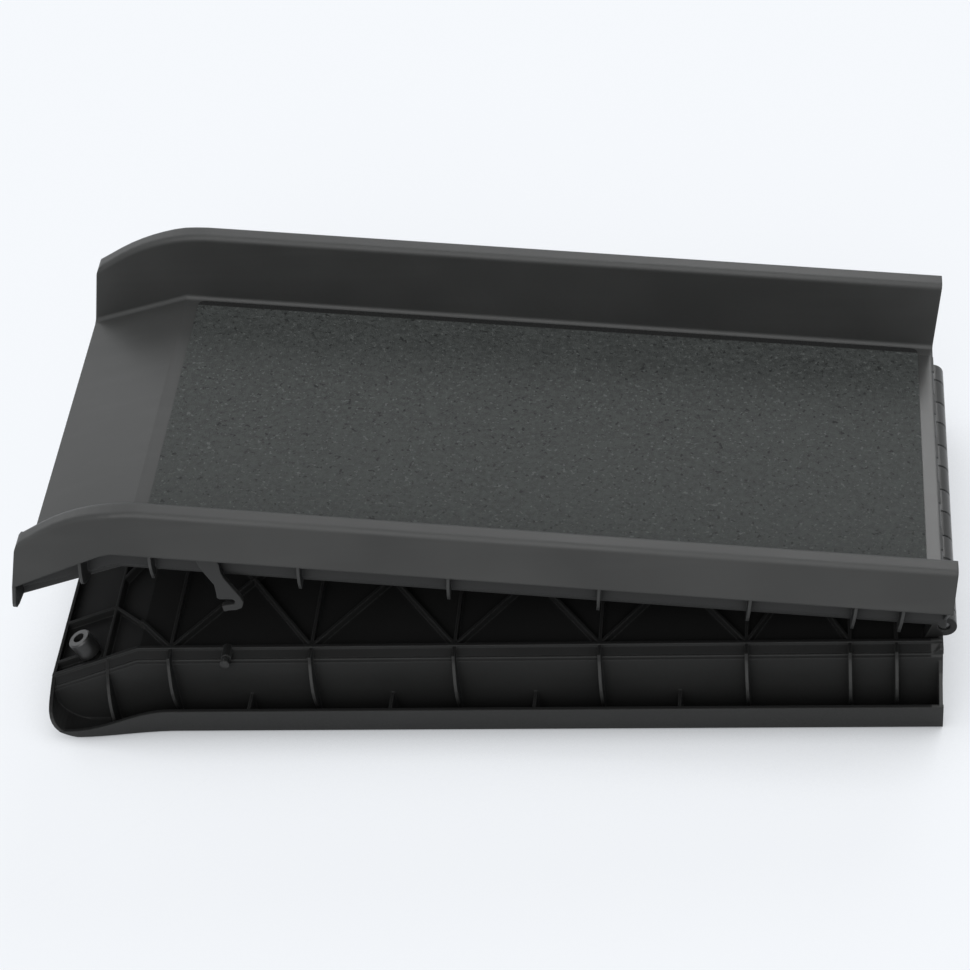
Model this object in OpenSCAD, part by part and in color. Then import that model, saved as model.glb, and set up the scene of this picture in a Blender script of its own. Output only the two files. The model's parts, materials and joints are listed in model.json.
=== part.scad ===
// Bi-fold dog ramp: two moulded halves on one piano hinge, nearly folded.
//
// The ground-end half lies upside down on its rail tops, and the car-end half lies over it, lifted by the
// rest angle. Each half is drawn in its own frame: +X runs from the hinge axis to the free end, +Z points
// out of the tread, and the hinge axis is X = 0, Z = 0. car_place() and ground_place() set the halves in
// the part's frame, whose origin is on the floor below the middle of the folded ramp.

/* [Halves] */
// Distance from the hinge axis to the bend of the end section
bend_x = 680; // [640:1:700]
// Angle of each end section to its tread
bend_angle = 22; // [14:1:24]
// Distance from the hinge axis to a half's free end, at the height of the tread
end_x = 764; // [756:1:768]
// Gap between the hinge axis plane and a half's end face
hinge_gap = 0.8; // [0.5:0.1:2]
// Angle by which the ramp stands open at rest
rest_angle = 6.8; // [3:0.1:12]

/* [Cross section] */
// Height of the tread above the hinge axis
tread_z = 20; // [19:0.5:22]
// Half of the tread's width, to the rail's inner face
tread_half = 172; // [170:0.5:176]
// Wall thickness of the mouldings
wall = 3; // [2.5:0.1:3.4]
// Height of the rail's top above the hinge axis
rail_z = 91; // [86:1:96]
// Height of the lip's lower edge above the hinge axis
lip_z = 54; // [50:1:60]
// Half of the width over the lips
lip_half = 199.5; // [196:0.5:204]
// Slope of the lip's outer face from upright
lip_flare = 16; // [10:1:20]
// Radius of the rail's two top corners
rail_r = 5; // [4:0.5:6]
// Height of the skirt's lower edge above the hinge axis
skirt_z = 9; // [8:0.5:10]
// Half of the width over the skirts
skirt_half = 167; // [165:0.5:169]

/* [Ribs and gussets] */
// Distances of the full gussets and cross ribs from the hinge axis
stations = [39, 77, 162, 284, 406.5, 529, 651, 708];
// Thickness of the ribs and gussets
rib = 2.6; // [2:0.1:3.5]
// Depth of the ribs below the tread plate
rib_depth = 7; // [5:0.5:7.5]
// Distance of the end section's lengthwise ribs from the middle
end_rib_y = 104; // [80:1:120]
// Distance from the middle at which the inner bars over the bend end
bar_end_y = 69; // [50:1:76]

/* [Hinge] */
// Outer radius of the knuckles
knuckle_r = 10.4; // [9:0.1:11]
// Radius of the hinge rod
rod_r = 4; // [3.5:0.1:5]
// Radial running clearance of the rod
rod_clear = 0.06; // [0.03:0.01:0.1]
// Half of the hinge's width
hinge_half = 159.6; // [156:0.1:160]
// Width of the far end knuckle with its gap
end_knuckle = 20.8; // [18:0.1:22]
// Width of each inner knuckle of the car-end half with its gap
car_knuckle = 27; // [26:0.1:27.5]
// Width of each inner knuckle of the ground-end half with its gap
ground_knuckle = 30; // [29:0.1:30.5]
// Side gap between two knuckles
knuckle_gap = 0.8; // [0.5:0.1:1.5]

/* [Grit mat] */
// Thickness of the mat
mat_t = 1.2; // [0.8:0.1:2]
// Distance from the hinge axis to the mat's near edge
mat_x0 = 15; // [12:1:25]
// Distance from the hinge axis to the mat's far edge
mat_x1 = 668; // [630:1:672]
// Half of the mat's width
mat_half = 167.5; // [150:0.5:167.5]

/* [Latch] */
// Distance from the hinge axis to the hook's pivot
pivot_x = 612; // [606:1:616]
// Height of the hook's pivot above the hinge axis
pivot_z = 60; // [58:1:64]
// Thickness of the hook
hook_t = 4.6; // [4:0.1:5.2]
// Radius of the catch stud
stud_r = 2.8; // [2.4:0.1:3]
// Height of the catch stud above the hinge axis in its own half
stud_z = 11.5; // [11:0.5:13]
// Swing of the hook from its hanging place to the stud
lock_swing = 12; // [11:0.5:13]

/* [Rubber feet] */
// Outer radius of a foot
foot_r = 10.4; // [8:0.1:10.6]
// Length of a foot
foot_len = 18; // [14:1:18]
// Distance of a foot from the bend, along the end section
foot_u = 47.5; // [44:0.5:54]
// Distance of a foot from the middle
foot_y = 151; // [140:1:152]

/* [Hidden] */
$fn = 64;

plastic = [0.13, 0.135, 0.14];
plastic_dark = [0.09, 0.09, 0.095];
grit = [0.24, 0.25, 0.27];
rubber = [0.06, 0.06, 0.06];
steel = [0.62, 0.63, 0.65];

// The whole part
hinge_x = 378.4;
hinge_z = rail_z;

// Cross section
fillet_r = 4;
skirt_edge = 3;
outer_half = tread_half + wall;
lip_in = wall / cos(lip_flare);

// Car end: the rail's top follows an arc and then a straight slope down to a rounded corner, while the lip's
// and the skirt's lower edges fall
arc_x = 655;
arc_r = 140;
arc_end = 38;
slope_x = arc_x + arc_r * sin(arc_end);
slope_z = rail_z - arc_r * (1 - cos(arc_end));
car_lip_x = 684;
car_lip_fall = 0.58;
skirt_fall = 0.07;
car_corner_r = 14;

// Ground end: the rail's top stays straight, and the lip's lower edge rises
lip_rise_x = 655;
lip_rise_len = 90;
lip_rise = 24;
ground_corner_r = 33;

// End walls lean a little, as a mould's draft does: angles of their outer faces from the X axis, and how far
// beyond end_x they meet the tread
car_wall_angle = 95;
car_wall_shift = 3;
ground_wall_angle = 84;
ground_wall_shift = -1.5;
tread_edge_r = 4;

// Loft of a rail over its end section
rail_x0 = hinge_gap + 0.5;
cover_sunk = 0.5;
loft_x = 650;
loft_step = 10;
loft_end = 780;
corner_steps = 5;
end_steps = 12;
// How far shapes are drawn past the free end before it is cut
end_spare = 14;
// Height of the end panel's lower edge above the skirt's, and its distance inside the lip's outer face
panel_lift = 0.5;
panel_inset = 0.4;
panel_corner_inset = 0.6;
panel_corner_start = 20;
// Reach of cutting shapes below the hinge axis, above the rail's top and beyond other faces
under_reach = 40;
over_reach = 20;
beyond = 5;

// Latch, measured outwards from the middle
boss_t = 2.5;
washer_t = 0.8;
latch_play = 0.1;
boss_y = outer_half + boss_t;
hook_y = boss_y + washer_t + latch_play;
head_y = hook_y + hook_t + latch_play;
shoulder_r = 3;
thread_r = 2;
hook_reach = [11, pivot_z + stud_z];
slot_c = [
    pivot_x - hook_reach[0] * cos(lock_swing) - hook_reach[1] * sin(lock_swing),
    pivot_z + hook_reach[0] * sin(lock_swing) - hook_reach[1] * cos(lock_swing)
];
slot_r = stud_r + 0.35;
stud_head_r = 4.3;
stud_shank_r = 2.2;
catch_boss_r = 4.4;
hook_boss_r = 7;
washer_r = 6.5;
stud_x = pivot_x - hook_reach[0];

// Feet, in the end section's frame
foot_base = -10;
foot_ledge = 3;
foot_boss_r = 7;

function clamp01(t) = min(1, max(0, t));
function ease(t) = t * t * (3 - 2 * t);

// Heights along a half, with dir = -1 for the car end (bent down) and +1 for the ground end (bent up)
function tread_top(x, dir) = tread_z + dir * max(0, x - bend_x) * tan(bend_angle);
function car_top(x) =
    x < arc_x ? rail_z :
    x < slope_x ? rail_z - arc_r + sqrt(arc_r * arc_r - (x - arc_x) * (x - arc_x)) :
    slope_z - (x - slope_x) * tan(arc_end);
function rail_top(x, dir) = dir > 0 ? rail_z : car_top(x);
function lip_bottom(x, dir) =
    dir > 0
        ? lip_z + lip_rise * ease(clamp01((x - lip_rise_x) / lip_rise_len))
        : lip_z - car_lip_fall * max(0, x - car_lip_x);
function skirt_drop(x, dir) = dir > 0 ? 0 : skirt_fall * max(0, x - bend_x);
function skirt_bottom(x, dir) = tread_top(x, dir) - (tread_z - skirt_z) - skirt_drop(x, dir);

// Points of an arc about c, from angle a0 to a1
function arc(c, r, a0, a1, n = corner_steps) =
    [for (i = [0:n]) let (a = a0 + (a1 - a0) * i / n) [c[0] + r * cos(a), c[1] + r * sin(a)]];

// Crossing of a line through p at angle a with a line through q at angle b
function meet(p, a, q, b) =
    let (t = ((q[0] - p[0]) * sin(b) - (q[1] - p[1]) * cos(b)) / sin(b - a))
    [p[0] + t * cos(a), p[1] + t * sin(a)];

// Centre of an arc of radius r that rounds a corner at p, whose two faces look towards angles a and b
function corner_center(p, a, b, r) =
    let (m = [cos(a) + cos(b), sin(a) + sin(b)]) p - m * r / (1 + cos(a - b));

// Side view of a free end: the end wall's angle and a point of it, and the rail's top line
function wall_angle(dir) = dir > 0 ? ground_wall_angle : car_wall_angle;
function tread_edge(dir) = [end_x + (dir > 0 ? ground_wall_shift : car_wall_shift), tread_top(end_x, dir)];
function wall_point(z, dir) = meet(tread_edge(dir), wall_angle(dir), [0, z], 0);
function top_angle(dir) = dir > 0 ? 0 : -arc_end;
function top_corner(dir) =
    meet([slope_x, dir > 0 ? rail_z : slope_z], top_angle(dir), tread_edge(dir), wall_angle(dir));
function top_corner_r(dir) = dir > 0 ? ground_corner_r : car_corner_r;

// The rail's outline in side view from its top round the corner to height z, inset by d
function end_curve(dir, z, d = 0) =
    let (
        a = top_angle(dir) + 90,
        b = wall_angle(dir) - 90,
        r = top_corner_r(dir),
        c = corner_center(top_corner(dir), a, b, r)
    )
    concat(arc(c, r - d, a, b, end_steps), [wall_point(z, dir) - d * [cos(b), sin(b)]]);

// Middle of the rail's outer top corner, which lies where the flared lip reaches the top
function corner_y(top, low) =
    lip_half - (rail_r + (top - rail_r - low) * sin(lip_flare)) / cos(lip_flare);

// Outline of a rail's sheet, (y, z): inner wall, top and lip, back along the inside, then the wall's
// foot with its chamfer and skirt, and the fillet on the tread
foot_lap = 2.4;
foot_lean = 15;
foot_depth = 2;
foot_gap = 0.4;
function rail_loop(top, low, tread, drop) =
    let (
        inner = [tread_half + rail_r, top - rail_r],
        outer = [corner_y(top, low), top - rail_r],
        skirt_in = skirt_half - wall,
        skirt_top = tread - tread_z + skirt_z + skirt_edge,
        bevel_z = skirt_top + skirt_edge * tan(22.5),
        fillet = arc([tread_half - fillet_r, tread + fillet_r], fillet_r, -90, 0)
    )
    concat(
        [fillet[0] - foot_lap * [cos(foot_lean), sin(foot_lean)]],
        [for (i = [1:corner_steps]) fillet[i]],
        arc(inner, rail_r, 180, 90),
        arc(outer, rail_r, 90, lip_flare),
        [[lip_half, low], [lip_half - lip_in, low]],
        arc(outer, rail_r - wall, lip_flare, 90),
        arc(inner, rail_r - wall, 90, 180),
        [
            [outer_half, skirt_top + outer_half - skirt_half],
            [skirt_half, skirt_top],
            [skirt_half, skirt_top - skirt_edge - drop],
            [skirt_in, skirt_top - skirt_edge - drop],
            [skirt_in, bevel_z],
            [skirt_in + tread - foot_depth - bevel_z, tread - foot_depth]
        ]
    );

// Outline of the space that a rail covers, for its end face at the hinge
function rail_cover(top, low, foot, inset) =
    concat(
        [[tread_half + inset, foot]],
        arc([tread_half + rail_r, top - rail_r], rail_r - inset, 180, 90),
        arc([corner_y(top, low), top - rail_r], rail_r - inset, 90, lip_flare),
        [[lip_half - lip_in / 2, low + 1], [outer_half - inset, foot]]
    );

// Outer edge of a gusset, with t running from 0 at its foot to 1 at its shoulder. It bows out along the
// straight rail, and reaches almost to the lip over the end section.
gusset_foot_y = 179;
gusset_bow = 10;
gusset_shoulder = 76;
gusset_lift = 0.8;
gusset_steps = 8;
function end_reach(dir) = dir > 0 ? 23.4 : 27.3;
function end_fullness(dir) = dir > 0 ? 2.4 : 6;
function end_gusset_y(t, dir, reach) = skirt_half + reach * (1 - pow(1 - t, end_fullness(dir)));
function gusset_y(t, x, dir) =
    x < bend_x ? gusset_foot_y + gusset_bow * sin(180 * t) : end_gusset_y(t, dir, end_reach(dir));

// A full gusset from the skirt to the rail's top
function gusset_points(x, dir) =
    let (
        top = rail_top(x, dir) - wall / 2,
        high = x < bend_x ? gusset_shoulder : lip_bottom(x, dir) + 1,
        bottom = skirt_bottom(x, dir) + gusset_lift,
        edge = [for (i = [0:gusset_steps]) let (t = i / gusset_steps)
            [gusset_y(t, x, dir), bottom + (high - bottom) * t]]
    )
    concat(
        [[skirt_half - wall / 2, bottom]],
        edge,
        [
            [min(edge[gusset_steps][0], corner_y(rail_top(x, dir), high)), top],
            [tread_half + rail_r, top],
            [outer_half - wall / 2, top - rail_r],
            [outer_half - wall / 2, tread_top(x, dir)],
            [skirt_half - wall / 2, bottom + skirt_edge]
        ]
    );

// Outer edge of an end panel, from the skirt to the lip
function panel_edge(dir, bottom, low) =
    [for (i = [0:gusset_steps]) let (t = i / gusset_steps)
        [end_gusset_y(t, dir, lip_half - panel_inset - skirt_half), bottom + (low - bottom) * t]];

// A half gusset under the rail's top only
function half_gusset_points() = [
    [outer_half - wall / 2, lip_z + 3],
    [lip_half - lip_in / 2, lip_z + 1],
    [corner_y(rail_z, lip_z), rail_z - wall / 2],
    [tread_half + rail_r, rail_z - wall / 2],
    [outer_half - wall / 2, rail_z - rail_r]
];

// ---- Frames and helpers ----

module car_place() {
    translate([hinge_x, 0, hinge_z]) rotate([0, rest_angle, 0]) rotate([0, 0, 180]) children();
}

module ground_place() {
    translate([hinge_x, 0, hinge_z]) rotate([0, 180, 0]) children();
}

module both_sides() {
    children();
    mirror([0, 1, 0]) children();
}

// Extrudes a (y, z) outline along +X from x0 over a length
module along_x(x0, length) {
    translate([x0, 0, 0]) rotate([90, 0, 90]) linear_extrude(length) children();
}

// Extrudes an (x, z) outline across Y from y0 to y1
module across_y(y0, y1) {
    translate([0, y1, 0]) rotate([90, 0, 0]) linear_extrude(y1 - y0) children();
}

// A cylinder along +Y from y0 to y1 at (x, z)
module rod_y(x, z, r, y0, y1) {
    translate([x, y0, z]) rotate([-90, 0, 0]) cylinder(r = r, h = y1 - y0);
}

// The end section's frame: origin on the tread at the bend, +X down or up the slope
module end_frame(dir) {
    translate([bend_x, 0, tread_z]) rotate([0, -dir * bend_angle, 0]) children();
}

// ---- Moulded half ----

// Tread plate in side view, from its rounded nose at the hinge over the bend and past the free end
module deck_plate(dir) {
    nose_r = 3;
    nose_z = 12;
    x = end_x + end_spare;
    across_y(-tread_half - wall / 2, tread_half + wall / 2)
        polygon(concat(
            arc([hinge_gap + nose_r, tread_z - nose_r], nose_r, 180, 90),
            [
                [bend_x, tread_z],
                [x, tread_top(x, dir)],
                [x, tread_top(x, dir) - wall / cos(bend_angle)],
                [bend_x + dir * wall * tan(bend_angle / 2), tread_z - wall],
                [hinge_gap + nose_r + tread_z - wall - nose_z, tread_z - wall],
                [hinge_gap + nose_r, nose_z],
                [hinge_gap, nose_z]
            ]
        ));
}

// The sheet's end face in convex pieces, as indices into rail_loop()
top_of_fillet = corner_steps;
top_of_wall = 4 * corner_steps + 6 + top_of_fillet + 1;
end_pieces = concat(
    [for (k = [0:2 * corner_steps + 2])
        [top_of_fillet + k, top_of_fillet + k + 1, top_of_wall - k - 1, top_of_wall - k]],
    [for (k = [1:top_of_fillet - 1]) [k, k + 1, top_of_wall]],
    [
        [0, 1, top_of_wall + 5],
        [1, top_of_wall, top_of_wall + 5],
        [top_of_wall, top_of_wall + 1, top_of_wall + 4, top_of_wall + 5],
        [top_of_wall + 1, top_of_wall + 2, top_of_wall + 3, top_of_wall + 4]
    ]
);

// A rail with the wall below it, as one loft through cross sections, longer than the rail
module rail_loft(dir) {
    xs = concat([rail_x0], [for (x = [loft_x:loft_step:loft_end]) x]);
    loops = [for (x = xs)
        rail_loop(rail_top(x, dir), lip_bottom(x, dir), tread_top(x, dir), skirt_drop(x, dir))];
    n = len(loops[0]);
    last = len(xs) - 1;
    points = [for (i = [0:last]) for (p = loops[i]) [xs[i], p[0], p[1]]];
    sides = [
        for (i = [0:last - 1]) for (j = [0:n - 1])
            let (a = i * n + j, b = i * n + (j + 1) % n)
            [a, b, b + n, a + n]
    ];
    first_end = [for (piece = end_pieces) [for (k = [len(piece) - 1:-1:0]) piece[k]]];
    last_end = [for (piece = end_pieces) [for (k = piece) last * n + k]];
    polyhedron(points, concat(sides, first_end, last_end));
}

// The panel that closes a free end over its whole width, past the free end
module end_panel(dir) {
    lean = wall_angle(dir) - 90;
    inner = end_curve(dir, 0, wall);
    start = end_curve(dir, 0)[0];
    under = [for (x = [bend_x, end_x + end_spare]) [x, skirt_bottom(x, dir) + panel_lift]];
    under_angle = atan((under[1][1] - under[0][1]) / (under[1][0] - under[0][0]));
    low = meet(wall_point(0, dir) - wall * [cos(lean), sin(lean)], wall_angle(dir), under[0], under_angle);
    x = end_x + end_spare;
    x_wall = tread_edge(dir)[0] - wall / 2;
    z0 = skirt_bottom(end_x, dir);
    z1 = tread_top(x_wall, dir) - wall / 2;
    top = start[1] - wall / 2;
    lip = lip_bottom(x_wall, dir);
    half = concat(
        [[skirt_half - panel_inset, z0 - beyond]],
        panel_edge(dir, z0, lip),
        arc([corner_y(top, lip) - panel_corner_inset, top - rail_r], rail_r, panel_corner_start, 90),
        [[tread_half + wall / 2, top], [tread_half + wall / 2, z1]]
    );
    other = [for (i = [len(half) - 1:-1:0]) [-half[i][0], half[i][1]]];
    intersection() {
        along_x(bend_x + 1, x - bend_x - 2) polygon(concat(half, other));
        across_y(-lip_half, lip_half)
            polygon(concat(
                [for (i = [0:len(inner) - 2]) inner[i]],
                [low, under[1], [x, rail_z + beyond], [inner[0][0], rail_z + beyond]]
            ));
    }
}

// Everything past a half's free end, for cutting it off
module past_end(dir) {
    z = -under_reach;
    curve = end_curve(dir, z);
    x = end_x + end_spare + 2 * beyond;
    across_y(-lip_half - beyond, lip_half + beyond)
        polygon(concat(
            [[curve[0][0] - beyond, rail_z + over_reach], curve[0] + (curve[0] - curve[1]) / 2],
            [for (i = [1:len(curve) - 1]) curve[i]],
            [[x, z], [x, rail_z + over_reach]]
        ));
}

// The corner that is rounded off the tread's end between the walls
module tread_end_corner(dir) {
    p = tread_edge(dir);
    b = wall_angle(dir) - 90;
    a = 90 + dir * bend_angle;
    n = 4;
    curve = arc(corner_center(p, b, a, tread_edge_r), tread_edge_r, b, a, n);
    first = curve[0] + (curve[0] - curve[1]);
    last = curve[n] + (curve[n] - curve[n - 1]);
    y = tread_half - fillet_r - foot_gap;
    across_y(-y, y)
        polygon(concat(
            [first, first + [beyond, 0], p + [beyond, beyond], last + [0, beyond], last],
            [for (i = [n - 1:-1:1]) curve[i]]
        ));
}

module cross_ribs(dir) {
    for (x = stations) if (x < bend_x)
        translate([x - rib / 2, -skirt_half + wall / 2, tread_z - wall - rib_depth])
            cube([rib, 2 * skirt_half - wall, rib_depth + wall / 2]);
    end_frame(dir) {
        u = (stations[len(stations) - 1] - bend_x) / cos(bend_angle);
        translate([u - rib / 2, -skirt_half + wall / 2, -wall - rib_depth])
            cube([rib, 2 * skirt_half - wall, rib_depth + wall / 2]);
        both_sides()
            translate([u, end_rib_y - rib / 2, -wall - rib_depth])
                cube([(end_x - bend_x) / cos(bend_angle) - u - wall, rib, rib_depth + wall / 2]);
    }
}

// A straight rib under the tread between two points
module bar_rib(p, q) {
    d = q - p;
    translate([p[0], p[1], tread_z - wall - rib_depth]) rotate([0, 0, atan2(d[1], d[0])])
        translate([0, -rib / 2, 0]) cube([norm(d), rib, rib_depth + wall / 2]);
}

// Crossed ribs in two rows of cells, with one rib down the middle
lattice_first = 1;
lattice_last = 6;
middle_rib_x = 20;
module lattice(dir) {
    y1 = skirt_half - wall;
    bar_rib([middle_rib_x, 0], [bend_x + 2, 0]);
    both_sides()
        for (i = [lattice_first:lattice_last - 1]) {
            bar_rib([stations[i], 0], [stations[i + 1], y1]);
            bar_rib([stations[i], y1], [stations[i + 1], 0]);
        }
    // Two more bars on each side run over the bend to the end section's cross rib
    both_sides()
        for (bar = [[0, bar_end_y], [y1, end_rib_y]]) {
            x0 = stations[lattice_last];
            x1 = stations[lattice_last + 1];
            y_bend = bar[0] + (bar[1] - bar[0]) * (bend_x - x0) / (x1 - x0);
            slope = (bar[1] - bar[0]) / (x1 - x0);
            bar_rib([x0, bar[0]], [bend_x + 2, y_bend + 2 * slope]);
            end_frame(dir) translate([0, 0, -tread_z])
                bar_rib([-2, y_bend - 2 * slope], [(x1 - bend_x) / cos(bend_angle), bar[1]]);
        }
}

module gussets(dir) {
    both_sides() {
        for (x = stations)
            along_x(x - rib / 2, rib) polygon(gusset_points(x, dir));
        for (i = [2:5])
            along_x((stations[i] + stations[i + 1]) / 2 - 4 - rib / 2, rib) polygon(half_gusset_points());
        along_x(rail_x0 + cover_sunk, wall) polygon(rail_cover(rail_z, lip_z, tread_z + 2, 1));
    }
}

// Edges of the knuckles from the far end, which belongs to the car-end half, to the near end
knuckles_in_all = 12;
function seam(k) =
    k == 0 ? hinge_half :
    k == knuckles_in_all ? -hinge_half :
    hinge_half - end_knuckle - floor(k / 2) * ground_knuckle - floor((k - 1) / 2) * car_knuckle;

// Every other knuckle of the piano hinge, with its arm up to the tread
module knuckles(dir) {
    arm_x = 18;
    arm = [[hinge_gap, 2], [hinge_gap, tread_z - 1], [arm_x, tread_z - 1], [knuckle_r, -1]];
    for (k = [dir > 0 ? 1 : 0:2:knuckles_in_all - 1]) {
        ends = [
            seam(k + 1) + (k + 1 < knuckles_in_all ? knuckle_gap / 2 : 0),
            seam(k) - (k > 0 ? knuckle_gap / 2 : 0)
        ];
        y0 = dir > 0 ? ends[0] : -ends[1];
        y1 = dir > 0 ? ends[1] : -ends[0];
        rod_y(0, 0, knuckle_r, y0, y1);
        across_y(y0, y1) polygon(arm);
    }
}

// The rod's bore, and the wider seat of a cap in the end knuckle
cap_r = rod_r + 0.6;
cap_room = 0.35;
cap_seat = 6;
module hinge_bores() {
    rod_y(0, 0, rod_r + rod_clear, -hinge_half - 1, hinge_half + 1);
    rod_y(0, 0, cap_r + cap_room, -hinge_half - 1, -hinge_half + cap_seat);
}

module half_moulding(dir) {
    difference() {
        union() {
            deck_plate(dir);
            both_sides() rail_loft(dir);
            end_panel(dir);
            cross_ribs(dir);
            lattice(dir);
            gussets(dir);
            knuckles(dir);
            if (dir > 0) ground_details(); else car_details();
        }
        past_end(dir);
        tread_end_corner(dir);
        hinge_bores();
        if (dir > 0) ground_holes(); else car_holes();
    }
}

// ---- Car end ----

module car_details() {
    // Bosses that the latch hooks turn on
    both_sides() rod_y(pivot_x, pivot_z, hook_boss_r, outer_half - 1, boss_y);
}

module car_holes() {
    both_sides() rod_y(pivot_x, pivot_z, thread_r, tread_half + 1, boss_y + 1);
}

module car_end_ramp() {
    color(plastic) car_place() half_moulding(-1);
}

// ---- Ground end ----

module ground_details() {
    both_sides() {
        // Foot bosses, each with a rib to the free end
        end_frame(1) {
            translate([foot_u, foot_y, foot_base]) cylinder(r = foot_boss_r, h = -foot_base - 1);
            translate([foot_u, foot_y - rib / 2, -wall - rib_depth])
                cube([(end_x - bend_x) / cos(bend_angle) - foot_u - wall, rib, rib_depth + wall / 2]);
        }
        // Catch bosses
        rod_y(stud_x, stud_z, catch_boss_r, skirt_half - wall, boss_y);
    }
}

module ground_holes() {
    both_sides() {
        end_frame(1) translate([foot_u, foot_y, foot_base - 1]) cylinder(r = thread_r, h = 8);
        rod_y(stud_x, stud_z, stud_shank_r, skirt_half - wall + 2, boss_y + 1);
    }
}

module ground_end_ramp() {
    color(plastic) ground_place() half_moulding(1);
}

// ---- Mats ----

module mat() {
    r = 6;
    translate([mat_x0, -mat_half, tread_z])
        linear_extrude(mat_t)
            translate([r, r]) offset(r = r, $fn = 24) square([mat_x1 - mat_x0 - 2 * r, 2 * (mat_half - r)]);
}

module car_end_mat() {
    color(grit) car_place() mat();
}

module ground_end_mat() {
    color(grit) ground_place() mat();
}

// ---- Hinge rod ----

rod_half = hinge_half - 3;
module hinge_rod() {
    color(steel) ground_place() rod_y(0, 0, rod_r, -rod_half, rod_half);
}

// A push-on cap over the rod's end, sunk in the end knuckle
cap_wall = 1;
cap_cup = 2;
module rod_cap() {
    difference() {
        rod_y(0, 0, cap_r, -rod_half - cap_wall, -rod_half + cap_cup);
        rod_y(0, 0, rod_r, -rod_half, -rod_half + cap_cup + 1);
    }
}

module near_rod_cap() {
    color(steel) ground_place() rod_cap();
}

module far_rod_cap() {
    color(steel) ground_place() mirror([0, 1, 0]) rod_cap();
}

// ---- Latch ----

// The hook's edge: down from the eye on the side of the free end, round the two jaws, and back up.
// The first and last groups are measured from the pivot, and the jaws from the slot's middle.
hook_outer_edge = [[7.6, -2.5], [0, -29], [-6, -39], [-12, -49]];
hook_jaws = [
    [12.2, 8], [12, 3.6], [8, 0.8], [8.6, -3.4], [6.8, -12.2], [3, -10.4], [-3.5, -9.2],
    [-8.4, -6.2], [-10, 0], [-7.4, 6.5], [-2.2, 14.5]
];
hook_inner_edge = [[-20, -40], [-18, -34], [-17, -26], [-7.6, 2.5]];
hook_eye_r = 8;
hook_round = 1.1;

// Slopes of the slot's two sides, which let the stud in along its circle about the pivot
slot_len = 24;
slot_slopes = [6, 17];

module hook_outline() {
    pivot = [pivot_x, pivot_z];
    difference() {
        offset(r = hook_round, $fn = 24) offset(delta = -hook_round) union() {
            translate(pivot) circle(hook_eye_r);
            polygon(concat(
                [for (p = hook_outer_edge) pivot + p],
                [for (p = hook_jaws) slot_c + p],
                [for (p = hook_inner_edge) pivot + p]
            ));
        }
        translate(slot_c) {
            circle(slot_r);
            polygon([
                [0, slot_r], [slot_len, slot_r - slot_len * tan(slot_slopes[0])],
                [slot_len, -slot_r - slot_len * tan(slot_slopes[1])], [0, -slot_r]
            ]);
        }
    }
}

module latch_hook() {
    difference() {
        across_y(hook_y, hook_y + hook_t) hook_outline();
        rod_y(pivot_x, pivot_z, shoulder_r + 0.06, hook_y - 1, hook_y + hook_t + 1);
    }
}

// A shoulder screw with a low head and a six-sided socket
module latch_screw() {
    head_r = 5.5;
    head_t = 2.4;
    socket_r = 2;
    rod_y(pivot_x, pivot_z, thread_r, tread_half + 1.5, boss_y + 0.5);
    rod_y(pivot_x, pivot_z, shoulder_r, boss_y, head_y + 0.5);
    difference() {
        rod_y(pivot_x, pivot_z, head_r, head_y, head_y + head_t);
        rod_y(pivot_x, pivot_z, socket_r, head_y + 1, head_y + head_t + 1, $fn = 6);
    }
}

module latch_washer() {
    difference() {
        rod_y(pivot_x, pivot_z, washer_r, boss_y, boss_y + washer_t);
        rod_y(pivot_x, pivot_z, shoulder_r + 0.05, boss_y - 1, boss_y + washer_t + 1);
    }
}

// A stud with a head: the hook's slot takes its neck
module catch_stud() {
    rod_y(stud_x, stud_z, stud_shank_r, skirt_half - wall + 2.5, boss_y + 0.5);
    rod_y(stud_x, stud_z, stud_r, boss_y, head_y + 0.5);
    rod_y(stud_x, stud_z, stud_head_r, head_y + 0.2, head_y + 1.8);
}

// The car-end half is turned about Z, so its +Y side is the near one
module near_latch_hook() {
    color(plastic_dark) car_place() latch_hook();
}

module far_latch_hook() {
    color(plastic_dark) car_place() mirror([0, 1, 0]) latch_hook();
}

module near_latch_screw() {
    color(steel) car_place() latch_screw();
}

module far_latch_screw() {
    color(steel) car_place() mirror([0, 1, 0]) latch_screw();
}

module near_latch_washer() {
    color(steel) car_place() latch_washer();
}

module far_latch_washer() {
    color(steel) car_place() mirror([0, 1, 0]) latch_washer();
}

module near_catch_stud() {
    color(plastic_dark) ground_place() mirror([0, 1, 0]) catch_stud();
}

module far_catch_stud() {
    color(plastic_dark) ground_place() catch_stud();
}

// ---- Feet ----

// A rubber sleeve, hollow up to the ledge that its screw holds
module rubber_foot() {
    hollow_r = 5;
    edge = 1.2;
    screw_hole_r = thread_r + 0.3;
    end_frame(1) translate([foot_u, foot_y, foot_base - foot_len])
        rotate_extrude() polygon([
            [hollow_r, 0], [foot_r - edge, 0], [foot_r, edge], [foot_r, foot_len], [screw_hole_r, foot_len],
            [screw_hole_r, foot_len - foot_ledge], [hollow_r, foot_len - foot_ledge]
        ]);
}

// The screw that holds a foot by its ledge, with its head inside the foot
module foot_screw() {
    head_r = 4.2;
    head_t = 2.6;
    socket_r = 1.5;
    socket_depth = 1.4;
    end_frame(1) translate([foot_u, foot_y, foot_base - foot_ledge]) {
        cylinder(r = thread_r, h = foot_ledge + 6.5);
        difference() {
            translate([0, 0, -head_t]) cylinder(r = head_r, h = head_t);
            translate([0, 0, -head_t - 1]) cylinder(r = socket_r, h = socket_depth + 1, $fn = 6);
        }
    }
}

module near_rubber_foot() {
    color(rubber) ground_place() mirror([0, 1, 0]) rubber_foot();
}

module far_rubber_foot() {
    color(rubber) ground_place() rubber_foot();
}

module near_foot_screw() {
    color(steel) ground_place() mirror([0, 1, 0]) foot_screw();
}

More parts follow.
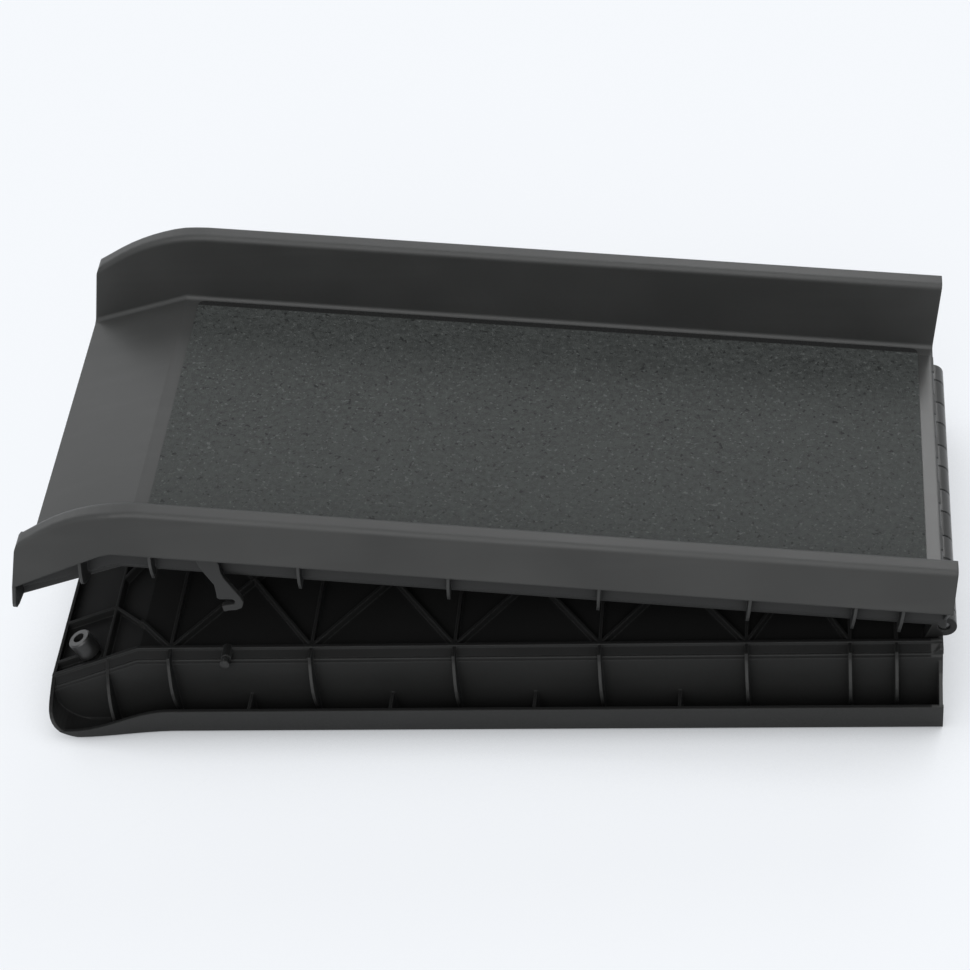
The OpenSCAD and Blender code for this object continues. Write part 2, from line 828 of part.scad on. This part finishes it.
module far_foot_screw() {
    color(steel) ground_place() foot_screw();
}

car_end_ramp();
ground_end_ramp();
car_end_mat();
ground_end_mat();
hinge_rod();
near_rod_cap();
far_rod_cap();
near_latch_hook();
far_latch_hook();
near_latch_screw();
far_latch_screw();
near_latch_washer();
far_latch_washer();
near_catch_stud();
far_catch_stud();
near_rubber_foot();
far_rubber_foot();
near_foot_screw();
far_foot_screw();
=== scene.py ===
"""Looks of the folding dog ramp: finishes, floor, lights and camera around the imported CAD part."""

import json
import math

import bpy
from mathutils import Matrix, Vector

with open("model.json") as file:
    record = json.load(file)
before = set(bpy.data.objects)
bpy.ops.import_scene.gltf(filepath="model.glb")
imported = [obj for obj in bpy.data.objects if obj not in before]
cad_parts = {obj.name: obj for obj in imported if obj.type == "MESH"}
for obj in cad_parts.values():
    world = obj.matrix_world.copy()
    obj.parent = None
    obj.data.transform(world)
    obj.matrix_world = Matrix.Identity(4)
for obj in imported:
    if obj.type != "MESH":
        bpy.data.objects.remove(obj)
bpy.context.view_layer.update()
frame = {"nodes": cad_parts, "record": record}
nodes = frame["nodes"]
scene = bpy.context.scene


# ---- Node helpers ----

class Finish:
    """A procedural material: a Principled shader fed by values in object space."""

    def __init__(self, name):
        self.material = bpy.data.materials.new(name)
        self.material.use_nodes = True
        self.tree = self.material.node_tree
        self.tree.nodes.clear()
        self.output = self.add("ShaderNodeOutputMaterial")
        self.shader = self.add("ShaderNodeBsdfPrincipled")
        self.link(self.shader.outputs["BSDF"], self.output.inputs["Surface"])
        self.coordinates = self.add("ShaderNodeTexCoord")

    def add(self, kind, **settings):
        node = self.tree.nodes.new(kind)
        for key, value in settings.items():
            setattr(node, key, value)
        return node

    def link(self, source, target):
        self.tree.links.new(source, target)

    def feed(self, value, target):
        """Sets a number or colour on a socket, or links another socket to it."""
        if isinstance(value, (int, float, tuple)):
            target.default_value = value
        else:
            self.link(value, target)

    def split(self, output, axis):
        separate = self.add("ShaderNodeSeparateXYZ")
        self.link(self.coordinates.outputs[output], separate.inputs["Vector"])
        return separate.outputs[axis]

    def place(self, axis):
        """Where the surface lies along an axis, in metres."""
        return self.split("Object", axis)

    def facing(self, axis):
        """How much the surface faces along an axis, from -1 to 1."""
        return self.split("Normal", axis)

    def noise(self, scale, detail=2.0, roughness=0.5, stretch=(1, 1, 1)):
        mapping = self.add("ShaderNodeMapping")
        mapping.inputs["Scale"].default_value = stretch
        self.link(self.coordinates.outputs["Object"], mapping.inputs["Vector"])
        node = self.add("ShaderNodeTexNoise")
        node.inputs["Scale"].default_value = scale
        node.inputs["Detail"].default_value = detail
        node.inputs["Roughness"].default_value = roughness
        self.link(mapping.outputs["Vector"], node.inputs["Vector"])
        return node.outputs["Fac"]

    def grains(self, scale):
        node = self.add("ShaderNodeTexVoronoi")
        node.inputs["Scale"].default_value = scale
        self.link(self.coordinates.outputs["Object"], node.inputs["Vector"])
        return node.outputs["Distance"]

    def spread(self, source, low, high, to_low=0.0, to_high=1.0):
        """Maps a value's span onto another one, clamped."""
        node = self.add("ShaderNodeMapRange")
        node.inputs["From Min"].default_value = low
        node.inputs["From Max"].default_value = high
        node.inputs["To Min"].default_value = to_low
        node.inputs["To Max"].default_value = to_high
        self.link(source, node.inputs["Value"])
        return node.outputs["Result"]

    def past(self, source, limit, blur=0.001):
        """1 where a place is past a limit, and 0 before it."""
        return self.spread(source, limit - blur / 2, limit + blur / 2)

    def before(self, source, limit, amount=1.0, blur=0.001):
        """An amount where a place is before a limit, and 0 past it."""
        return self.spread(source, limit - blur / 2, limit + blur / 2, amount, 0.0)

    def calculate(self, operation, *values):
        node = self.add("ShaderNodeMath", operation=operation)
        for value, target in zip(values, node.inputs):
            self.feed(value, target)
        return node.outputs["Value"]

    def times(self, a, b):
        return self.calculate("MULTIPLY", a, b)

    def plus(self, a, b):
        return self.calculate("ADD", a, b)

    def minus(self, a, b):
        return self.calculate("SUBTRACT", a, b)

    def without_sign(self, value):
        return self.calculate("ABSOLUTE", value)

    def mix(self, share, a, b):
        node = self.add("ShaderNodeMix", data_type="RGBA")
        self.feed(share, node.inputs["Factor"])
        self.feed(a, node.inputs["A"])
        self.feed(b, node.inputs["B"])
        return node.outputs["Result"]

    def openness(self, reach, samples):
        """How little lies within reach above the surface: 1 in the open, 0 when shut in."""
        node = self.add("ShaderNodeAmbientOcclusion", samples=samples)
        node.inputs["Distance"].default_value = reach
        return node.outputs["AO"]

    def rounded(self, radius):
        """The normal, with edges rounded off."""
        bevel = self.add("ShaderNodeBevel", samples=4)
        bevel.inputs["Radius"].default_value = radius
        return bevel.outputs["Normal"]

    def at_edge(self, rounded):
        """1 where a rounded normal turns away from the true one, so at edges, and 0 on the flat."""
        dot = self.add("ShaderNodeVectorMath", operation="DOT_PRODUCT")
        self.link(rounded, dot.inputs[0])
        self.link(self.add("ShaderNodeNewGeometry").outputs["Normal"], dot.inputs[1])
        return self.spread(dot.outputs["Value"], 0.98, 0.8)

    def bump(self, height, distance, strength, normal=None):
        """A normal with a height map on it, up to a distance in metres."""
        node = self.add("ShaderNodeBump")
        node.inputs["Distance"].default_value = distance
        node.inputs["Strength"].default_value = strength
        self.link(height, node.inputs["Height"])
        if normal is not None:
            self.link(normal, node.inputs["Normal"])
        return node.outputs["Normal"]

    def done(self, colour, roughness, normal):
        self.link(colour, self.shader.inputs["Base Color"])
        self.link(roughness, self.shader.inputs["Roughness"])
        self.link(normal, self.shader.inputs["Normal"])
        return self.material


def grey(value, tint=(1.0, 1.0, 1.0)):
    return (value * tint[0], value * tint[1], value * tint[2], 1.0)


# ---- Finishes ----

COOL = (0.98, 1.0, 0.985)
GREEN = (0.92, 1.0, 0.97)

# Limits between finishes in metres. Both halves keep the world's axes at rest, with the hinge towards +X.
HINGE_STRIP = 0.348
INNER_SIDE_END = 0.3675
HINGE_AXIS = 0.378
TREAD_HALF_WIDTH = 0.1605
SKIRT_BACK = 0.1815
GRIT_HALF_WIDTH = 0.1615

# The gaps between the knuckles lie in two rows of one pitch, each given as the place of one gap across the ramp
# and how dark the row is. A gap is darkest within the first half width, and fades out at the second.
KNUCKLE_PITCH = 0.057
KNUCKLE_GAPS = ((0.1388, 0.85), (0.1088, 0.6))
GAP_HALF_WIDTHS = (0.0008, 0.0016)

# Shades of the moulded plastic, as shares of its grey. The crevice and inner shades are painted shade, and the
# rim shade is a painted highlight on edges
CLOUD_SHADES = (0.9, 1.1)
STREAK_SHADE = 2.2
WORN_SHADE = 2.6
PAINTED_CREVICE_SHADE = 0.1
PAINTED_INNER_SHADE = 0.12
PAINTED_RIM_HIGHLIGHT = 1.3
GAP_SHADE = 0.05

# How much of those shades the plastic shows
STREAK_SHARE = 0.08
WORN_SHARE = 0.12
RAIL_BACK_SHARE = 0.6
PAINTED_RIM_HIGHLIGHT_SHARE = 0.4

# What the plastic's roughness gains in crevices and on the inner side, and loses at the hinge
CREVICE_ROUGHER = 0.35
INNER_ROUGHER = 0.3
HINGE_SMOOTHER = 0.24

# Greys of the mat
GRIT_GREYS = (0.03, 0.058)
GRIT_CLOUD = 0.05
GRIT_FLECK = 0.16
GRIT_PIT = 0.006
MARGIN_PAINTED_SHADOW = 0.008

# Greys of the feet and the small metal parts
RUBBER_GREYS = (0.012, 0.03)
STEEL_GREYS = (0.08, 0.14)


def moulded_plastic(name, base, roughness, grain, inner_z=0, specular=0.22):
    """Grained grey plastic, with painted shade on its matt inner side, which faces up for inner_z 1, and down
    for -1.
    """
    f = Finish(name)
    f.shader.inputs["Specular IOR Level"].default_value = specular

    def shade(share):
        return grey(base * share, COOL)

    rounded = f.rounded(radius=0.0022)
    edge = f.at_edge(rounded)
    off_centre = f.without_sign(f.place("Y"))
    between_rails = f.before(off_centre, TREAD_HALF_WIDTH)

    cloud = f.spread(f.noise(scale=9.0, detail=3.0), 0.35, 0.65)
    streak = f.spread(f.noise(scale=60.0, detail=4.0, stretch=(0.08, 1.0, 1.0)), 0.5, 0.75)
    colour = f.mix(cloud, shade(CLOUD_SHADES[0]), shade(CLOUD_SHADES[1]))
    colour = f.mix(f.times(streak, STREAK_SHARE), colour, shade(STREAK_SHADE))
    colour = f.mix(f.times(edge, WORN_SHARE), colour, shade(WORN_SHADE))

    open_air = f.spread(f.openness(reach=0.3, samples=4), 0.15, 0.6)
    # Painted shade: the colour darkens in crevices and recesses, where little lies within reach above the
    # surface
    colour = f.mix(open_air, shade(PAINTED_CREVICE_SHADE), colour)

    # Painted shade on the inner side, away from the hinge
    inner = f.spread(f.times(f.facing("Z"), inner_z), 0.35, 0.75)
    inner = f.times(inner, f.before(f.place("X"), INNER_SIDE_END))
    colour = f.mix(inner, colour, shade(PAINTED_INNER_SHADE))

    # The backs of the rails, behind the skirts, face away from the middle, and get the same painted shade as
    # the inner side
    outward = f.times(f.facing("Y"), f.calculate("SIGN", f.place("Y")))
    rail_back = f.times(f.spread(outward, 0.3, 0.7), f.before(off_centre, SKIRT_BACK, RAIL_BACK_SHARE))
    colour = f.mix(rail_back, colour, shade(PAINTED_INNER_SHADE))
    # Painted highlight: edges are lighter, as if they catch the light
    colour = f.mix(f.times(edge, PAINTED_RIM_HIGHLIGHT_SHARE), colour, shade(PAINTED_RIM_HIGHLIGHT))

    # The gaps between the knuckles gather shade
    on_knuckles = f.times(f.past(f.place("X"), HINGE_AXIS), between_rails)
    for one_gap, darkness in KNUCKLE_GAPS:
        from_gap = f.calculate("WRAP", f.minus(f.place("Y"), one_gap), KNUCKLE_PITCH / 2, -KNUCKLE_PITCH / 2)
        gap = f.spread(f.without_sign(from_gap), GAP_HALF_WIDTHS[0], GAP_HALF_WIDTHS[1], darkness, 0.0)
        colour = f.mix(f.times(gap, on_knuckles), colour, shade(GAP_SHADE))

    # The strip and the knuckles at the hinge are smooth on the tread's side
    smooth = f.times(f.past(f.place("X"), HINGE_STRIP, blur=0.002), between_rails)
    smooth = f.times(smooth, f.spread(inner, 0.0, 1.0, 1.0, 0.0))
    rough = f.spread(cloud, 0.0, 1.0, roughness - 0.04, roughness + 0.05)
    rough = f.plus(rough, f.spread(open_air, 0.0, 1.0, CREVICE_ROUGHER, 0.0))
    rough = f.plus(rough, f.times(inner, INNER_ROUGHER))
    rough = f.minus(rough, f.times(smooth, HINGE_SMOOTHER))

    normal = f.bump(f.noise(scale=2600.0), distance=0.0001, strength=grain, normal=rounded)
    normal = f.bump(f.noise(scale=25.0), distance=0.0015, strength=0.05, normal=normal)
    return f.done(colour, rough, normal)


def grit(name):
    """Dark green-grey grit with light flecks and dark pits, and a painted shadow in a margin along both long
    edges.
    """
    f = Finish(name)
    f.shader.inputs["Specular IOR Level"].default_value = 0.25
    patches = f.spread(f.noise(scale=210.0, detail=3.0, roughness=0.7), 0.4, 0.6)
    cloud = f.spread(f.noise(scale=8.0, detail=3.0), 0.3, 0.7)
    fleck = f.spread(f.noise(scale=330.0), 0.62, 0.7)
    pit = f.spread(f.noise(scale=240.0), 0.3, 0.38, 0.8, 0.0)
    margin = f.past(f.without_sign(f.place("Y")), GRIT_HALF_WIDTH)
    colour = f.mix(patches, grey(GRIT_GREYS[0], GREEN), grey(GRIT_GREYS[1], GREEN))
    colour = f.mix(f.times(cloud, 0.2), colour, grey(GRIT_CLOUD, GREEN))
    colour = f.mix(f.times(fleck, 0.4), colour, grey(GRIT_FLECK, GREEN))
    colour = f.mix(pit, colour, grey(GRIT_PIT, GREEN))
    # Painted shadow along the mat's long edges, beside the walls of the rails
    colour = f.mix(margin, colour, grey(MARGIN_PAINTED_SHADOW, COOL))
    rough = f.spread(patches, 0.0, 1.0, 0.62, 0.85)
    normal = f.bump(f.grains(scale=700.0), distance=0.0006, strength=0.8)
    normal = f.bump(f.grains(scale=1500.0), distance=0.0003, strength=0.5, normal=normal)
    return f.done(colour, rough, normal)


def foot_rubber(name):
    """Black rubber with a little dust."""
    f = Finish(name)
    dust = f.spread(f.noise(scale=80.0, detail=4.0), 0.5, 0.8)
    colour = f.mix(dust, grey(RUBBER_GREYS[0]), grey(RUBBER_GREYS[1]))
    rough = f.spread(dust, 0.0, 1.0, 0.38, 0.55)
    normal = f.bump(f.noise(scale=600.0), distance=0.0002, strength=0.2, normal=f.rounded(radius=0.0008))
    return f.done(colour, rough, normal)


def plated_steel(name):
    """Dark steel, brushed along X."""
    f = Finish(name)
    f.shader.inputs["Metallic"].default_value = 1.0
    brush = f.noise(scale=900.0, detail=3.0, stretch=(0.1, 1.0, 1.0))
    colour = f.mix(brush, grey(STEEL_GREYS[0]), grey(STEEL_GREYS[1]))
    rough = f.spread(brush, 0.3, 0.7, 0.28, 0.42)
    normal = f.bump(brush, distance=0.0001, strength=0.2, normal=f.rounded(radius=0.0004))
    return f.done(colour, rough, normal)


SLOT_FINISHES = {
    "black_plastic": moulded_plastic("black_plastic", base=0.046, roughness=0.45, grain=0.35, inner_z=-1),
    "latch_plastic": moulded_plastic("latch_plastic", base=0.026, roughness=0.34, grain=0.25),
    "grit_mat": grit("grit_mat"),
    "foot_rubber": foot_rubber("foot_rubber"),
    "steel": plated_steel("steel"),
}

# The ground-end half lies tread down, and looks duller in the photograph
NODE_FINISHES = {
    "ground_end_ramp": moulded_plastic("ground_half_plastic", base=0.046, roughness=0.45, grain=0.35,
                                       inner_z=1, specular=0.14),
}

for part in frame["record"]["subparts"]:
    mesh = nodes[part["node"]].data
    mesh.materials.clear()
    mesh.materials.append(NODE_FINISHES.get(part["node"], SLOT_FINISHES[part["material_slot"]]))


# ---- Floor and world ----

PALE = (0.905, 0.93, 0.965, 1.0)
PAPER = ((0.90, 0.925, 0.96, 1.0), (0.91, 0.935, 0.968, 1.0))
BOUNCE = (0.5, 0.5, 0.5, 1.0)
CONTACT_SHADOW = (0.15, 0.155, 0.16, 1.0)
CONTACT_REACH = 0.16
OPEN_FLOOR = 0.86
LIT_SHARE = 0.2
FLOOR_REACH = 30.0
FLOOR_DROP = 0.0002
WORLD_LIGHT = 0.18


def seen_directly(tree):
    """1 for rays that show the background itself: camera, glossy and transmission rays."""
    rays = tree.nodes.new("ShaderNodeLightPath")
    total = rays.outputs["Is Camera Ray"]
    for kind in ("Is Glossy Ray", "Is Transmission Ray"):
        larger = tree.nodes.new("ShaderNodeMath")
        larger.operation = "MAXIMUM"
        tree.links.new(total, larger.inputs[0])
        tree.links.new(rays.outputs[kind], larger.inputs[1])
        total = larger.outputs["Value"]
    return total


def floor_paper():
    """Pale paper, seen partly lit and partly as its own colour with a contact shadow.

    Light that bounces off it to the ramp sees plain grey instead.
    """
    f = Finish("floor_paper")
    direct = seen_directly(f.tree)
    mottle = f.mix(f.noise(scale=3.0), PAPER[0], PAPER[1])
    f.link(f.mix(direct, BOUNCE, mottle), f.shader.inputs["Base Color"])
    f.shader.inputs["Roughness"].default_value = 0.9
    f.shader.inputs["Specular IOR Level"].default_value = 0.0
    glow = f.add("ShaderNodeEmission")
    open_floor = f.spread(f.openness(CONTACT_REACH, samples=8), 0.0, OPEN_FLOOR)
    f.link(f.mix(open_floor, CONTACT_SHADOW, PALE), glow.inputs["Color"])
    blend = f.add("ShaderNodeMixShader")
    f.link(f.times(direct, 1 - LIT_SHARE), blend.inputs["Fac"])
    f.link(f.shader.outputs["BSDF"], blend.inputs[1])
    f.link(glow.outputs["Emission"], blend.inputs[2])
    f.link(blend.outputs["Shader"], f.output.inputs["Surface"])
    return f.material


def lay_floor():
    mesh = bpy.data.meshes.new("floor")
    corners = [(x * FLOOR_REACH, y * FLOOR_REACH, 0) for x, y in ((-1, -1), (1, -1), (1, 1), (-1, 1))]
    mesh.from_pydata(corners, [], [(0, 1, 2, 3)])
    mesh.materials.append(floor_paper())
    floor = bpy.data.objects.new("floor", mesh)
    floor.location.z = -FLOOR_DROP
    scene.collection.objects.link(floor)


def add_world():
    """A weak white light, seen as the floor's pale colour."""
    scene.world = bpy.data.worlds.new("studio")
    scene.world.use_nodes = True
    tree = scene.world.node_tree
    light = tree.nodes["Background"]
    light.inputs["Color"].default_value = (1.0, 1.0, 1.0, 1.0)
    light.inputs["Strength"].default_value = WORLD_LIGHT
    backdrop = tree.nodes.new("ShaderNodeBackground")
    backdrop.inputs["Color"].default_value = PALE
    backdrop.inputs["Strength"].default_value = 1.0
    either = tree.nodes.new("ShaderNodeMixShader")
    tree.links.new(seen_directly(tree), either.inputs["Fac"])
    tree.links.new(light.outputs["Background"], either.inputs[1])
    tree.links.new(backdrop.outputs["Background"], either.inputs[2])
    tree.links.new(either.outputs["Shader"], tree.nodes["World Output"].inputs["Surface"])


lay_floor()
add_world()


# ---- Lights ----

# Name, strength, then the width, azimuth and elevation in degrees
SUNS = (
    ("key", 0.95, 26, 50, 74),
    ("front", 1.8, 44, -5, 42),
    ("back", 0.85, 26, 166, 41),
    ("left", 0.35, 36, 217, 25),
)


def sun(name, strength, width, azimuth, elevation):
    """A wide sun; azimuth 0 shines from the camera's side, and 90 from +X."""
    light = bpy.data.lights.new(name, "SUN")
    light.energy = strength
    light.angle = math.radians(width)
    turn = math.radians(azimuth)
    rise = math.radians(elevation)
    towards = Vector((math.sin(turn) * math.cos(rise), -math.cos(turn) * math.cos(rise), math.sin(rise)))
    lamp = bpy.data.objects.new(name, light)
    lamp.rotation_mode = "QUATERNION"
    lamp.rotation_quaternion = towards.to_track_quat("Z", "Y")
    scene.collection.objects.link(lamp)


for values in SUNS:
    sun(*values)


# ---- Camera ----

# Angles in radians: yaw turns from +Y towards +X, pitch looks down, and roll leans to the left
CAMERA_PLACE = Vector((0.30323, -1.76376, 1.74215))
CAMERA_YAW = -0.17753
CAMERA_PITCH = 0.73863
CAMERA_ROLL = -0.1373
SENSOR_WIDTH = 36
FOCAL_LENGTH = 102.66962


def add_camera(place, yaw, pitch, roll, focal_length):
    forward = Vector((math.sin(yaw) * math.cos(pitch), math.cos(yaw) * math.cos(pitch), -math.sin(pitch)))
    right = Vector((math.cos(yaw), -math.sin(yaw), 0))
    up = right.cross(forward)
    x_axis = right * math.cos(roll) + up * math.sin(roll)
    y_axis = up * math.cos(roll) - right * math.sin(roll)
    data = bpy.data.cameras.new("camera")
    data.sensor_width = SENSOR_WIDTH
    data.lens = focal_length
    data.clip_start = 0.05
    data.clip_end = 100
    camera = bpy.data.objects.new("camera", data)
    turn = Matrix((x_axis, y_axis, -forward)).transposed().to_4x4()
    camera.matrix_world = Matrix.Translation(place) @ turn
    scene.collection.objects.link(camera)
    scene.camera = camera


add_camera(CAMERA_PLACE, CAMERA_YAW, CAMERA_PITCH, CAMERA_ROLL, FOCAL_LENGTH)
scene.view_settings.view_transform = "Standard"
